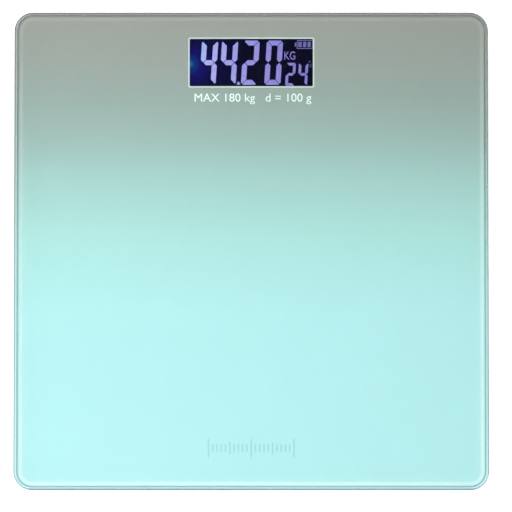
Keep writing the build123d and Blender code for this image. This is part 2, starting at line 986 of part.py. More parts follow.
def save_batteries():
    first_y, second_y = battery_y
    save(aaa_cell(first_y, -1), "battery_front")
    save(aaa_cell(second_y, 1), "battery_rear")
    save(contact_plate(first_y, -1) + contact_tab(first_y), "contact_positive")
    negative = contact_plate(second_y, -1) + contact_tab(second_y)
    save(Compound([negative, contact_spring(second_y, -1)]), "contact_negative")
    bridge = contact_plate(first_y, 1) + contact_plate(second_y, 1)
    limits = (bay_half_length - contact_thickness, bay_half_length)
    low, high = cell_axis_level - bridge_width / 2, cell_axis_level + bridge_width / 2
    bridge += block(*limits, first_y, second_y, low, high)
    save(Compound([bridge, contact_spring(first_y, 1)]), "contact_bridge")
    save(Compound(battery_leads()), "battery_leads")
    save(battery_cover(), "battery_cover")


save_platform()
save_foot_modules()
save_wiring()
save_display()
save_batteries()
print("cover hinge at y", round(hinge_y, 2), "z", round(hinge_z, 2))
print("feet at x", foot_x, "y", foot_y)
print("window middle at y", round(window_y, 2))
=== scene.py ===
# %% [markdown]
# # A glass bathroom scale
# The scale is a square of tempered glass on four load-cell feet. Its colour is a print on a
# film under the glass, with a clear window for a lit display. Everything else is taped to the
# underside: a display housing with the battery bay, four foot modules and the cable ducts.
# The engineering model fixes every size and place. This lesson gives it its finish: it models
# the glass, the inks and the lit segments again in fine detail, and paints all other pieces.

# %% Load the engineering model
import json
import math

import bmesh
import bpy
from mathutils import Matrix, Vector


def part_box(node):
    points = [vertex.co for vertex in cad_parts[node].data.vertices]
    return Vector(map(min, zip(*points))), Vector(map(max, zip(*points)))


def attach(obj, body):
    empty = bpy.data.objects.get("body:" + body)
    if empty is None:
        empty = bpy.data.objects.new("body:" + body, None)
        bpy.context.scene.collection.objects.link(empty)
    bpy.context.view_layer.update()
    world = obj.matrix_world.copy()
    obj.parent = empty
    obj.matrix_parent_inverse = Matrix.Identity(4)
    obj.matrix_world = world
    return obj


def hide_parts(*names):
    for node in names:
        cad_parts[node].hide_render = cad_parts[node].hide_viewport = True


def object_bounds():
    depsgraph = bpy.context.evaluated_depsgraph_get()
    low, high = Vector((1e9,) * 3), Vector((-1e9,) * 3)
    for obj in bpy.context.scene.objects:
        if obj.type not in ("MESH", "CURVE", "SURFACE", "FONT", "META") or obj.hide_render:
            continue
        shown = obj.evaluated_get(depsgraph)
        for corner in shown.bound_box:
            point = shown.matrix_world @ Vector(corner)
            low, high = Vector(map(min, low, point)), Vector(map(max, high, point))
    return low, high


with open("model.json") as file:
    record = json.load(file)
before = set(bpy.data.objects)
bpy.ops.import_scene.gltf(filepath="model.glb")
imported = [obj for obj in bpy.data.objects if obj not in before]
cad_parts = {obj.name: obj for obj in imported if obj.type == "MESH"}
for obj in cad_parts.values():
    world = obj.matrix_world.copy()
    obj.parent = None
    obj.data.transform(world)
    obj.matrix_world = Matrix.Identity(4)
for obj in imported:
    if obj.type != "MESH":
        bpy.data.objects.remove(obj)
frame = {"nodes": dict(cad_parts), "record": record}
cad_low, cad_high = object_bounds()
MM = 0.001
print("the scale measures", [round((high - low) / MM, 1) for low, high in zip(cad_low, cad_high)])

# %% [markdown]
# ## Small helpers for modelling
# Operators act on whatever is selected, and the loaded model starts out selected. Every piece
# therefore starts from an empty selection, and parts of it are then picked by where they are.

# %% Selection helpers


def start_fresh():
    """Leaves edit mode and deselects everything, so that an operator touches nothing old."""
    if bpy.context.object and bpy.context.object.mode != "OBJECT":
        bpy.ops.object.mode_set(mode="OBJECT")
    bpy.ops.object.select_all(action="DESELECT")


def choose(piece):
    """Makes one piece the only selected and active object."""
    start_fresh()
    piece.select_set(True)
    bpy.context.view_layer.objects.active = piece


def settle(piece, name):
    """Names a piece and moves its place, turn and scale into its mesh."""
    choose(piece)
    bpy.ops.object.transform_apply(location=True, rotation=True, scale=True)
    piece.name = piece.data.name = name
    return piece


def pick(kind, test):
    """In edit mode, selects only the vertices, edges or faces that pass the test."""
    bpy.ops.mesh.select_mode(type=kind)
    bpy.ops.mesh.select_all(action="DESELECT")
    mesh = bmesh.from_edit_mesh(bpy.context.edit_object.data)
    group = {"VERT": mesh.verts, "EDGE": mesh.edges, "FACE": mesh.faces}[kind]
    for thing in group:
        if test(thing):
            thing.select_set(True)
    mesh.select_flush_mode()
    bmesh.update_edit_mesh(bpy.context.edit_object.data)


def join_pieces(pieces, name):
    """Joins several finished meshes into one piece."""
    start_fresh()
    for piece in pieces:
        piece.select_set(True)
    bpy.context.view_layer.objects.active = pieces[0]
    if len(pieces) > 1:
        bpy.ops.object.join()
    return settle(pieces[0], name)


def use_modifier(piece, kind, **settings):
    """Adds a modifier, sets it and applies it at once."""
    choose(piece)
    modifier = piece.modifiers.new(kind.title(), kind)
    for key, value in settings.items():
        setattr(modifier, key, value)
    bpy.ops.object.modifier_apply(modifier=modifier.name)


# %% Starting shapes


def start_box(name, low, high):
    """A block between two corners, with its place in its mesh."""
    start_fresh()
    middle = (Vector(low) + Vector(high)) / 2
    bpy.ops.mesh.primitive_cube_add(size=1, location=middle)
    block = bpy.context.object
    block.scale = Vector(high) - Vector(low)
    return settle(block, name)


def start_sheet(name, low, high, level):
    """A flat rectangle between two corners at one level."""
    start_fresh()
    middle = ((low[0] + high[0]) / 2, (low[1] + high[1]) / 2, level)
    bpy.ops.mesh.primitive_plane_add(size=1, location=middle)
    sheet = bpy.context.object
    sheet.scale = (high[0] - low[0], high[1] - low[1], 1)
    return settle(sheet, name)


def thicken(piece, height):
    """Gives a flat sheet a small height, upwards, with its faces pointing out."""
    choose(piece)
    bpy.ops.object.mode_set(mode="EDIT")
    bpy.ops.mesh.select_all(action="SELECT")
    bpy.ops.mesh.extrude_region_move(TRANSFORM_OT_translate={"value": (0, 0, height)})
    bpy.ops.mesh.select_all(action="SELECT")
    bpy.ops.mesh.normals_make_consistent(inside=False)
    bpy.ops.object.mode_set(mode="OBJECT")


def open_middle(sheet, width):
    """Turns a flat outline into a frame or a ring of one width."""
    choose(sheet)
    bpy.ops.object.mode_set(mode="EDIT")
    bpy.ops.mesh.select_mode(type="FACE")
    bpy.ops.mesh.select_all(action="SELECT")
    bpy.ops.mesh.inset(thickness=width, depth=0)
    bpy.ops.mesh.delete(type="FACE")
    bpy.ops.object.mode_set(mode="OBJECT")


def round_corners(sheet, radius, steps):
    """Rounds every corner of a flat outline."""
    choose(sheet)
    bpy.ops.object.mode_set(mode="EDIT")
    bpy.ops.mesh.select_all(action="SELECT")
    bpy.ops.mesh.bevel(offset=radius, segments=steps, affect="VERTICES")
    bpy.ops.object.mode_set(mode="OBJECT")


# %% [markdown]
# ## The glass pane
# The tread is one pane of 6 mm tempered glass. Its corners are ground round and its edge is
# polished to a pencil shape, which is what makes the bright and dark lines round the rim.
# A cube is enough to start from: its upright edges are bevelled into the corners first and its
# two rims after that. A weighted-normal modifier then keeps the big faces optically flat.

# %% Model the glass pane
CORNER_RADIUS = 12 * MM
EDGE_RADIUS = 2.2 * MM
CORNER_STEPS = 20
EDGE_STEPS = 8
SMOOTH_ANGLE = math.radians(30)


def glass_pane():
    """The pane, from a cube whose upright edges and then rims are bevelled."""
    low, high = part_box("glass_platform")
    pane = start_box("glass_pane", low, high)
    bpy.ops.object.mode_set(mode="EDIT")
    pick("EDGE", lambda edge: abs(edge.verts[0].co.z - edge.verts[1].co.z) > MM)
    bpy.ops.mesh.bevel(offset=CORNER_RADIUS, segments=CORNER_STEPS, affect="EDGES")
    pick("EDGE", lambda edge: abs(edge.verts[0].co.z - edge.verts[1].co.z) < MM / 10)
    bpy.ops.mesh.bevel(offset=EDGE_RADIUS, segments=EDGE_STEPS, affect="EDGES")
    bpy.ops.object.mode_set(mode="OBJECT")
    bpy.ops.object.shade_smooth_by_angle(angle=SMOOTH_ANGLE)
    use_modifier(pane, "WEIGHTED_NORMAL", keep_sharp=True)
    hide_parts("glass_platform")
    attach(pane, "platform")
    return pane


pane = glass_pane()
print("glass pane faces", len(pane.data.polygons))

# %% [markdown]
# ## Inks between the film and the glass
# The white outline of the window, the capacity line and a small generic row of ticks are screen
# printed. They are so thin that they read as flat, so each is a sheet with a few hundredths of
# a millimetre of body, laid in the narrow gap between the film and the glass.

# %% Levels and places of the inks
film_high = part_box("printed_backing")[1]
glass_low, glass_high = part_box("glass_platform")
panel_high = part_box("lcd_panel")[1]
gasket_low, gasket_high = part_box("lcd_gasket")
INK_GAP = 0.012 * MM
INK_LEVEL = film_high.z + INK_GAP
INK_BODY = 0.02 * MM
GASKET_RIM = 2.7 * MM
window_low = gasket_low + Vector((GASKET_RIM, GASKET_RIM, 0))
window_high = gasket_high - Vector((GASKET_RIM, GASKET_RIM, 0))
window_middle = (window_low + window_high) / 2
print("the window measures", [round(side / MM, 2) for side in (window_high - window_low)])

# %% Window outline
OUTLINE_WIDTH = 0.8 * MM
OUTLINE_GAP = 0.15 * MM
OUTLINE_CORNER = 1.2 * MM
OUTLINE_STEPS = 5


def window_outline():
    """A white frame: a rectangle, inset by its own width, with the middle taken out."""
    side = OUTLINE_WIDTH + OUTLINE_GAP
    reach = Vector((side, side, 0))
    sheet = start_sheet("window_outline", window_low - reach, window_high + reach, INK_LEVEL)
    open_middle(sheet, OUTLINE_WIDTH)
    bpy.ops.object.mode_set(mode="EDIT")
    outer_side = window_low.x - OUTLINE_GAP - OUTLINE_WIDTH / 2
    pick("VERT", lambda vert: abs(vert.co.x - window_middle.x) > window_middle.x - outer_side)
    bpy.ops.mesh.bevel(offset=OUTLINE_CORNER, segments=OUTLINE_STEPS, affect="VERTICES")
    bpy.ops.object.mode_set(mode="OBJECT")
    thicken(sheet, INK_BODY)
    return sheet


# %% Capacity line
CAPACITY_WORDS = "MAX 180 kg   d = 100 g"
CAPACITY_WIDTH = 74 * MM
CAPACITY_CAP_HEIGHT = 5.4 * MM
CAPACITY_MIDDLE_X = 0.8 * MM
CAPACITY_BASELINE = 94.6 * MM
# A capital of the built-in face is this high in text of size 1.
CAPITAL_HEIGHT = 0.7291
LETTER_STEPS = 6


def flat_words(words, name, width, cap_height, middle_x, baseline, level, body):
    """Lettering as a mesh, scaled to a width and a capital height."""
    start_fresh()
    bpy.ops.object.text_add(location=(0, 0, 0))
    text = bpy.context.object
    text.data.body = words
    text.data.align_x = "CENTER"
    text.data.resolution_u = LETTER_STEPS
    bpy.ops.object.convert(target="MESH")
    piece = bpy.context.object
    xs = [vert.co.x for vert in piece.data.vertices]
    piece.scale = (width / (max(xs) - min(xs)), cap_height / CAPITAL_HEIGHT, 1)
    piece.location = (middle_x, baseline, level)
    settle(piece, name)
    thicken(piece, body)
    return piece


def capacity_line():
    """The largest load and the division, printed under the window."""
    return flat_words(
        CAPACITY_WORDS,
        "capacity_line",
        CAPACITY_WIDTH,
        CAPACITY_CAP_HEIGHT,
        CAPACITY_MIDDLE_X,
        CAPACITY_BASELINE,
        INK_LEVEL,
        INK_BODY,
    )


# %% Row of ticks
TICK_COUNT = 21
TICK_PITCH = 2.7 * MM
TICK_WIDTH = 1.0 * MM
TICK_ROUNDING = 0.45 * MM
TICK_STEPS = 3
LONG_EVERY = 10
MIDDLE_EVERY = 5
TICK_HEIGHTS = {"long": 12 * MM, "middle": 8 * MM, "short": 5 * MM}
TICK_MIDDLE_Y = -124.5 * MM


def tick_row():
    """Ticks like those of a dial, long at the ends and the middle."""
    ticks = []
    for number in range(TICK_COUNT):
        size = "short"
        if number % LONG_EVERY == 0:
            size = "long"
        elif number % MIDDLE_EVERY == 0:
            size = "middle"
        x = (number - (TICK_COUNT - 1) / 2) * TICK_PITCH
        half = TICK_WIDTH / 2
        low = (x - half, TICK_MIDDLE_Y - TICK_HEIGHTS[size] / 2)
        high = (x + half, TICK_MIDDLE_Y + TICK_HEIGHTS[size] / 2)
        tick = start_sheet("tick", low, high, INK_LEVEL)
        round_corners(tick, TICK_ROUNDING, TICK_STEPS)
        thicken(tick, INK_BODY)
        ticks.append(tick)
    return join_pieces(ticks, "tick_row")


inks = {"window_outline": window_outline(), "capacity_line": capacity_line(), "tick_row": tick_row()}
for ink in inks.values():
    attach(ink, "platform")
print("inks", sorted(inks))

# %% [markdown]
# ## The lit reading
# The display is a dark panel whose segments let blue-violet light through. A digit is a frame of
# seven bars that meet in mitred corners with hairline gaps. Each bar starts as a rectangle and is
# cut along the mitre lines with bisect, the way the artwork of a real display is drawn. The
# finished digits lean to the right, so their meshes are sheared at the end.

# %% One bar of a digit
LEAN = math.tan(math.radians(3.6))
SEGMENT_GAP = 0.02 * MM
SEGMENT_LEVEL = panel_high.z + SEGMENT_GAP
SEGMENT_BODY = 0.03 * MM
# Each outer corner of a digit is clipped off by this share of its stroke.
CLIPPED_CORNER = 0.45
BARS_OF = {
    "0": "abcdef",
    "2": "abged",
    "4": "fgbc",
}


def cut_sheet(sheet, cuts):
    """Trims a flat sheet along lines, each a point and the direction to remove."""
    choose(sheet)
    bpy.ops.object.mode_set(mode="EDIT")
    for point, away in cuts:
        bpy.ops.mesh.select_all(action="SELECT")
        bpy.ops.mesh.bisect(
            plane_co=(point[0], point[1], 0), plane_no=(away[0], away[1], 0), clear_outer=True
        )
    bpy.ops.object.mode_set(mode="OBJECT")
    return sheet


def bar_shape(bar, width, height, stroke, gap):
    """Where one bar of a digit starts, and the lines that trim it."""
    middle = height / 2
    half = stroke / 2
    tight = gap / 2 * math.sqrt(2)
    clipped = stroke * CLIPPED_CORNER
    if bar in "ad":
        up = 1 if bar == "a" else -1
        edge = height if bar == "a" else 0
        rectangle = ((0, min(edge, edge - up * stroke)), (width, max(edge, edge - up * stroke)))
        cuts = [
            ((tight, edge), (-1, -up)),
            ((width - tight, edge), (1, -up)),
            ((clipped, edge), (-1, up)),
            ((width - clipped, edge), (1, up)),
        ]
        return rectangle, cuts
    if bar == "g":
        rectangle = ((half, middle - half), (width - half, middle + half))
        cuts = [((half + tight, middle), (-1, side)) for side in (-1, 1)]
        cuts += [((width - half - tight, middle), (1, side)) for side in (-1, 1)]
        return rectangle, cuts
    right = bar in "bc"
    up = 1 if bar in "bf" else -1
    outer = width if right else 0
    inward = -1 if right else 1
    end = height if up > 0 else 0
    low_x, high_x = sorted((outer, outer + inward * stroke))
    low_y, high_y = sorted((middle, end))
    cuts = [
        ((outer, end - up * tight), (inward, up)),
        ((outer, end - up * clipped), (-inward, up)),
        ((outer + inward * half, middle + up * tight), (1, -up)),
        ((outer + inward * half, middle + up * tight), (-1, -up)),
    ]
    return ((low_x, low_y), (high_x, high_y)), cuts


def digit(character, width, height, stroke, gap):
    """The lit bars of one digit, standing at the world's origin."""
    bars = []
    for bar in BARS_OF[character]:
        (low, high), cuts = bar_shape(bar, width, height, stroke, gap)
        bars.append(cut_sheet(start_sheet("bar", low, high, 0), cuts))
    return join_pieces(bars, "digit")


def lay_on_panel(piece, x, y, lean=LEAN):
    """Leans a flat piece, centres it on the panel at an offset from the window's middle."""
    xs = [vert.co.x for vert in piece.data.vertices]
    ys = [vert.co.y for vert in piece.data.vertices]
    centre = Matrix.Translation((-(min(xs) + max(xs)) / 2, -(min(ys) + max(ys)) / 2, 0))
    shear = Matrix.Identity(4)
    shear[0][1] = lean
    place = Matrix.Translation((window_middle.x + x, window_middle.y + y, SEGMENT_LEVEL))
    piece.data.transform(place @ shear @ centre)
    thicken(piece, SEGMENT_BODY)
    return piece


# %% The weight reading
BIG_WIDTH = 10.3 * MM
BIG_HEIGHT = 28.2 * MM
BIG_STROKE = 3.2 * MM
HAIRLINE = 0.34 * MM
BIG_DIGITS = (("4", -26.9), ("4", -14.2), ("2", -0.6), ("0", 14.2))
POINT_PLACE = (-8.1 * MM, -12.9 * MM)
POINT_RADIUS = 1.5 * MM
POINT_ROUNDING = 0.3 * MM
POINT_STEPS = 2


def decimal_point():
    """A small triangle with rounded corners."""
    start_fresh()
    bpy.ops.mesh.primitive_circle_add(vertices=3, radius=POINT_RADIUS, fill_type="NGON")
    point = settle(bpy.context.object, "decimal_point")
    round_corners(point, POINT_ROUNDING, POINT_STEPS)
    return lay_on_panel(point, *POINT_PLACE, lean=0)


def weight_reading():
    """The four large digits and the point between them."""
    pieces = [decimal_point()]
    for character, x in BIG_DIGITS:
        big = digit(character, BIG_WIDTH, BIG_HEIGHT, BIG_STROKE, HAIRLINE)
        pieces.append(lay_on_panel(big, x * MM, 0))
    return join_pieces(pieces, "weight_reading")


# %% Temperature, unit and battery sign
SMALL_WIDTH = 6.0 * MM
SMALL_HEIGHT = 14.6 * MM
SMALL_STROKE = 1.7 * MM
SMALL_HAIRLINE = 0.22 * MM
SMALL_DIGITS = (("2", 24.9), ("4", 32.8))
SMALL_Y = -7.4 * MM
RING_RADIUS = 0.55 * MM
RING_WIDTH = 0.22 * MM
RING_SIDES = 20
RING_PLACE = (37.0 * MM, 0.6 * MM)
UNIT_SIGN_SIZE = (6.9 * MM, 5.4 * MM)
UNIT_SIGN_PLACE = (24.4 * MM, 4.7 * MM)
CELSIUS_SIZE = (1.5 * MM, 2.0 * MM)
CELSIUS_PLACE = (37.8 * MM, -1.8 * MM)
BATTERY_PLACE = (33.4 * MM, 11.6 * MM)
BATTERY_WIDTH = 10.2 * MM
BATTERY_HEIGHT = 5.6 * MM
BATTERY_LINE = 0.5 * MM
CHARGE_BARS = 3
CHARGE_START = 0.95 * MM
CHARGE_PITCH = 2.9 * MM
CHARGE_WIDTH = 2.1 * MM
CHARGE_HALF = 1.7 * MM
TERMINAL_REACH = (1.3 * MM, 0.3 * MM)
TERMINAL_HALF = 1.2 * MM


def temperature_reading():
    """The two small digits of the room temperature."""
    pieces = []
    for character, x in SMALL_DIGITS:
        small = digit(character, SMALL_WIDTH, SMALL_HEIGHT, SMALL_STROKE, SMALL_HAIRLINE)
        pieces.append(lay_on_panel(small, x * MM, SMALL_Y))
    return join_pieces(pieces, "temperature_reading")


def sign_words(words, name, width, cap_height, x, y):
    """A short unit sign, centred at an offset from the window's middle."""
    return flat_words(
        words,
        name,
        width,
        cap_height,
        window_middle.x + x,
        window_middle.y + y - cap_height / 2,
        SEGMENT_LEVEL,
        SEGMENT_BODY,
    )


def degree_ring():
    """The small ring of the temperature unit."""
    start_fresh()
    bpy.ops.mesh.primitive_circle_add(vertices=RING_SIDES, radius=RING_RADIUS, fill_type="NGON")
    ring = settle(bpy.context.object, "degree_ring")
    open_middle(ring, RING_WIDTH)
    return lay_on_panel(ring, *RING_PLACE)


def battery_sign():
    """A battery outline with three bars and a small terminal on its left."""
    right, top = BATTERY_WIDTH / 2, BATTERY_HEIGHT / 2
    outline = start_sheet("outline", (-right, -top), (right, top), 0)
    open_middle(outline, BATTERY_LINE)
    pieces = [outline]
    for number in range(CHARGE_BARS):
        left = -right + CHARGE_START + number * CHARGE_PITCH
        pieces.append(start_sheet("bar", (left, -CHARGE_HALF), (left + CHARGE_WIDTH, CHARGE_HALF), 0))
    outer, inner = (-right - reach for reach in TERMINAL_REACH)
    pieces.append(start_sheet("cap", (outer, -TERMINAL_HALF), (inner, TERMINAL_HALF), 0))
    return lay_on_panel(join_pieces(pieces, "battery_sign"), *BATTERY_PLACE)


reading = [
    weight_reading(),
    temperature_reading(),
    sign_words("KG", "unit_sign", *UNIT_SIGN_SIZE, *UNIT_SIGN_PLACE),
    sign_words("C", "temperature_unit", *CELSIUS_SIZE, *CELSIUS_PLACE),
    degree_ring(),
    battery_sign(),
]
DIM_SIGNS = ("temperature_unit", "degree_ring", "battery_sign")
for piece in reading:
    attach(piece, "platform")
print("lit pieces", [piece.name for piece in reading])

# %% [markdown]
# ## Marks moulded on the underside
# Mouldings carry small raised marks: an arrow that shows where to press on the battery door, a
# ring round the unit button and the three units that it steps through. Each is a flat outline
# raised by a fifth of a millimetre and rubbed with grey ink. They face down, so the lettering
# is mirrored in X.

# %% Raised marks
MARK_BODY = -0.2 * MM
ARROW_RADIUS = 2.4 * MM
ARROW_ROUNDING = 0.4 * MM
ARROW_STEPS = 3
ARROW_FROM_EDGE = 6 * MM
MARK_RING_RADIUS = 6.0 * MM
MARK_RING_WIDTH = 0.8 * MM
MARK_RING_SIDES = 64
UNIT_WORDS = "kg / lb / st"
UNIT_WIDTH = 19 * MM
UNIT_CAP_HEIGHT = 2.6 * MM
UNIT_GAP = 4 * MM
cover_low, cover_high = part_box("battery_cover")
button_low, button_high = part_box("unit_button")
housing_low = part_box("display_housing")[0]
button_middle = (button_low + button_high) / 2


def raised_mark(piece, body):
    """Raises a flat outline downwards and ties it to its body."""
    thicken(piece, MARK_BODY)
    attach(piece, body)
    return piece


def cover_arrow():
    """A small triangle that shows where to press on the battery cover."""
    start_fresh()
    middle_x = (cover_low.x + cover_high.x) / 2
    bpy.ops.mesh.primitive_circle_add(vertices=3, radius=ARROW_RADIUS, fill_type="NGON")
    bpy.context.object.location = (middle_x, cover_low.y + ARROW_FROM_EDGE, cover_low.z)
    arrow = settle(bpy.context.object, "cover_arrow")
    round_corners(arrow, ARROW_ROUNDING, ARROW_STEPS)
    return raised_mark(arrow, "battery_cover")


def button_ring():
    """A thin ring on the housing round the unit button."""
    start_fresh()
    bpy.ops.mesh.primitive_circle_add(
        vertices=MARK_RING_SIDES, radius=MARK_RING_RADIUS, fill_type="NGON"
    )
    bpy.context.object.location = (button_middle.x, button_middle.y, housing_low.z)
    ring = settle(bpy.context.object, "button_ring")
    open_middle(ring, MARK_RING_WIDTH)
    return raised_mark(ring, "platform")


def unit_words():
    """The three units beside the button, mirrored so that they read from below."""
    start_fresh()
    bpy.ops.object.text_add(location=(0, 0, 0))
    bpy.context.object.data.body = UNIT_WORDS
    bpy.ops.object.convert(target="MESH")
    words = bpy.context.object
    across = max(vert.co.x for vert in words.data.vertices)
    words.scale = (-UNIT_WIDTH / across, UNIT_CAP_HEIGHT / CAPITAL_HEIGHT, 1)
    start = button_middle.x + MARK_RING_RADIUS + UNIT_GAP + UNIT_WIDTH
    words.location = (start, button_middle.y - UNIT_CAP_HEIGHT / 2, housing_low.z)
    return raised_mark(settle(words, "unit_words"), "platform")


marks = [cover_arrow(), button_ring(), unit_words()]
print("raised marks", [mark.name for mark in marks])

# %% [markdown]
# ## Materials
# Shared effects are node groups that put out only masks, values or colours. Each material keeps
# its own shader and uses a group with its own numbers. Colours are given as they look on a
# screen and are turned into the linear values that the shader expects.

# %% Colour and node helpers
# The sockets of a colour Mix node have no names of their own, so they go by number.
MIX_FIRST = 6
MIX_SECOND = 7
MIX_RESULT = 2


def screen_colour(red, green, blue):
    """A screen colour, 0 to 255, as the linear colour a shader expects."""
    return tuple(
        value / 12.92 if value <= 0.04045 else ((value + 0.055) / 1.055) ** 2.4
        for value in (red / 255, green / 255, blue / 255)
    ) + (1.0,)


def new_material(name):
    """An empty node material with a Principled shader wired to its output."""
    material = bpy.data.materials.new(name)
    material.use_nodes = True
    tree = material.node_tree
    shader = next(node for node in tree.nodes if node.type == "BSDF_PRINCIPLED")
    return material, tree, shader


def add_node(tree, kind, **settings):
    """A node with its properties set by name and its inputs by socket name."""
    node = tree.nodes.new(kind)
    for key, value in settings.items():
        if key in node.inputs:
            node.inputs[key].default_value = value
        else:
            setattr(node, key, value)
    return node


def object_place(tree):
    """The Object coordinate, which is the place on the scale in metres."""
    return add_node(tree, "ShaderNodeTexCoord").outputs["Object"]


def coordinate(tree, axis):
    """One coordinate, X, Y or Z, of the place on the scale."""
    split = add_node(tree, "ShaderNodeSeparateXYZ")
    tree.links.new(object_place(tree), split.inputs["Vector"])
    return split.outputs[axis]


# %% Shared effect: mottle
def make_mottle():
    """Soft uneven noise between two values: print unevenness, smudges, roughness changes."""
    group = bpy.data.node_groups.new("mottle", "ShaderNodeTree")
    face = group.interface
    face.new_socket("Scale", in_out="INPUT", socket_type="NodeSocketFloat")
    face.new_socket("Low", in_out="INPUT", socket_type="NodeSocketFloat")
    face.new_socket("High", in_out="INPUT", socket_type="NodeSocketFloat")
    face.new_socket("Value", in_out="OUTPUT", socket_type="NodeSocketFloat")
    entry = group.nodes.new("NodeGroupInput")
    leave = group.nodes.new("NodeGroupOutput")
    place = object_place(group)
    noise = add_node(group, "ShaderNodeTexNoise", Detail=4.0, Roughness=0.55)
    spread = add_node(group, "ShaderNodeMapRange")
    group.links.new(place, noise.inputs["Vector"])
    group.links.new(entry.outputs["Scale"], noise.inputs["Scale"])
    group.links.new(noise.outputs["Fac"], spread.inputs["Value"])
    spread.inputs["From Min"].default_value = 0.3
    spread.inputs["From Max"].default_value = 0.7
    group.links.new(entry.outputs["Low"], spread.inputs["To Min"])
    group.links.new(entry.outputs["High"], spread.inputs["To Max"])
    group.links.new(spread.outputs["Result"], leave.inputs["Value"])
    return group


MOTTLE = make_mottle()


def mottle(tree, scale, low, high):
    """Places the mottle group in a material and gives its output socket."""
    node = tree.nodes.new("ShaderNodeGroup")
    node.node_tree = MOTTLE
    node.inputs["Scale"].default_value = scale
    node.inputs["Low"].default_value = low
    node.inputs["High"].default_value = high
    return node.outputs["Value"]


def calculate(tree, operation, first, second=None):
    """A Math node whose inputs are sockets or numbers."""
    node = add_node(tree, "ShaderNodeMath", operation=operation)
    for place, value in enumerate((first, second)):
        if isinstance(value, bpy.types.NodeSocket):
            tree.links.new(value, node.inputs[place])
        elif value is not None:
            node.inputs[place].default_value = value
    return node.outputs["Value"]


def tinted(tree, colour, factor):
    """A base colour whose brightness follows a factor that varies over the surface."""
    mix = add_node(tree, "ShaderNodeMix", data_type="RGBA", blend_type="MULTIPLY")
    mix.inputs["Factor"].default_value = 1.0
    if isinstance(colour, tuple):
        mix.inputs[MIX_FIRST].default_value = colour
    else:
        tree.links.new(colour, mix.inputs[MIX_FIRST])
    tree.links.new(factor, mix.inputs[MIX_SECOND])
    return mix.outputs[MIX_RESULT]


def add_bump(tree, shader, height, strength, distance):
    """Feeds a height into the shader's normal."""
    bump = add_node(tree, "ShaderNodeBump", Strength=strength, Distance=distance)
    tree.links.new(height, bump.inputs["Height"])
    tree.links.new(bump.outputs["Normal"], shader.inputs["Normal"])


# %% Shared effect: distance from the rim
def make_rim_distance():
    """How far a point lies inside the rounded outline of the glass, in metres."""
    group = bpy.data.node_groups.new("rim_distance", "ShaderNodeTree")
    group.interface.new_socket("Distance", in_out="OUTPUT", socket_type="NodeSocketFloat")
    beyond = []
    squares = []
    for number, axis in enumerate("XY"):
        straight = (glass_high[number] - glass_low[number]) / 2 - CORNER_RADIUS
        from_middle = calculate(group, "ABSOLUTE", coordinate(group, axis))
        past = calculate(group, "SUBTRACT", from_middle, straight)
        beyond.append(past)
        squares.append(calculate(group, "POWER", calculate(group, "MAXIMUM", past, 0.0), 2.0))
    corner = calculate(group, "SQRT", calculate(group, "ADD", *squares))
    inner = calculate(group, "MINIMUM", calculate(group, "MAXIMUM", *beyond), 0.0)
    signed = calculate(group, "ADD", corner, inner)
    leave = group.nodes.new("NodeGroupOutput")
    group.links.new(calculate(group, "SUBTRACT", CORNER_RADIUS, signed), leave.inputs["Distance"])
    return group


RIM_DISTANCE = make_rim_distance()


def rim_distance(tree):
    """Places the rim distance group in a material and gives its output socket."""
    node = tree.nodes.new("ShaderNodeGroup")
    node.node_tree = RIM_DISTANCE
    return node.outputs["Distance"]


def ramp_of(tree, value, stops, blend="LINEAR"):
    """A colour ramp over (place, colour) stops, driven by a value socket."""
    ramp = tree.nodes.new("ShaderNodeValToRGB")
    ramp.color_ramp.interpolation = blend
    elements = ramp.color_ramp.elements
    while len(elements) < len(stops):
        elements.new(0.5)
    # All places come first, because a ramp may put its stops in order when one of them moves.
    for element, (place, _) in zip(elements, stops):
        element.position = place
    for element, (_, colour) in zip(elements, stops):
        element.color = colour
    tree.links.new(value, ramp.inputs["Fac"])
    return ramp.outputs["Color"]


def scaled(tree, value, start, end):
    """A value as a share of the way from start to end."""
    node = add_node(tree, "ShaderNodeMapRange")
    node.inputs["From Min"].default_value = start
    node.inputs["From Max"].default_value = end
    tree.links.new(value, node.inputs["Value"])
    return node.outputs["Result"]


def grey(level):
    """A neutral shader colour of one level."""
    return (level, level, level, 1.0)


# %% [markdown]
# ## Glass
# Clear glass bends the light, so it is a Principled shader with full transmission. Light would
# reach the print under it only by chance, so shadow rays pass straight through instead, which
# the Light Path node decides. Faint smears change its roughness by a hair.

# %% Tempered glass
CLEAR_TINT = (0.97, 1.0, 0.99, 1.0)
GLASS_TINT = (0.96, 1.0, 0.985, 1.0)
GLASS_BENDING = 1.5


def let_shadows_through(tree, surface):
    """Makes a surface clear to shadow rays, so that light reaches what lies under it."""
    clear = add_node(tree, "ShaderNodeBsdfTransparent", Color=CLEAR_TINT)
    path = tree.nodes.new("ShaderNodeLightPath")
    mix = tree.nodes.new("ShaderNodeMixShader")
    output = next(node for node in tree.nodes if node.type == "OUTPUT_MATERIAL")
    tree.links.new(path.outputs["Is Shadow Ray"], mix.inputs["Fac"])
    tree.links.new(surface, mix.inputs[1])
    tree.links.new(clear.outputs["BSDF"], mix.inputs[2])
    tree.links.new(mix.outputs["Shader"], output.inputs["Surface"])


def tempered_glass():
    """Clear glass with a faint green tint and the slightest smears."""
    material, tree, shader = new_material("tempered_glass")
    shader.inputs["Base Color"].default_value = GLASS_TINT
    shader.inputs["Transmission Weight"].default_value = 1.0
    shader.inputs["IOR"].default_value = GLASS_BENDING
    tree.links.new(mottle(tree, scale=30.0, low=0.0, high=0.02), shader.inputs["Roughness"])
    let_shadows_through(tree, shader.outputs["BSDF"])
    return material


# %% [markdown]
# ## Printed film
# The print runs from a warm grey at the display end to a pale aqua. A colour ramp along Y holds
# the blend, and a fine mottle breaks it up as ink on film does. A painted highlight, a pale line a
# few millimetres inside the rim, stands for the light that the rounded edge of the glass gathers.

# %% Gradient print
PRINT_LEVEL = 0.77
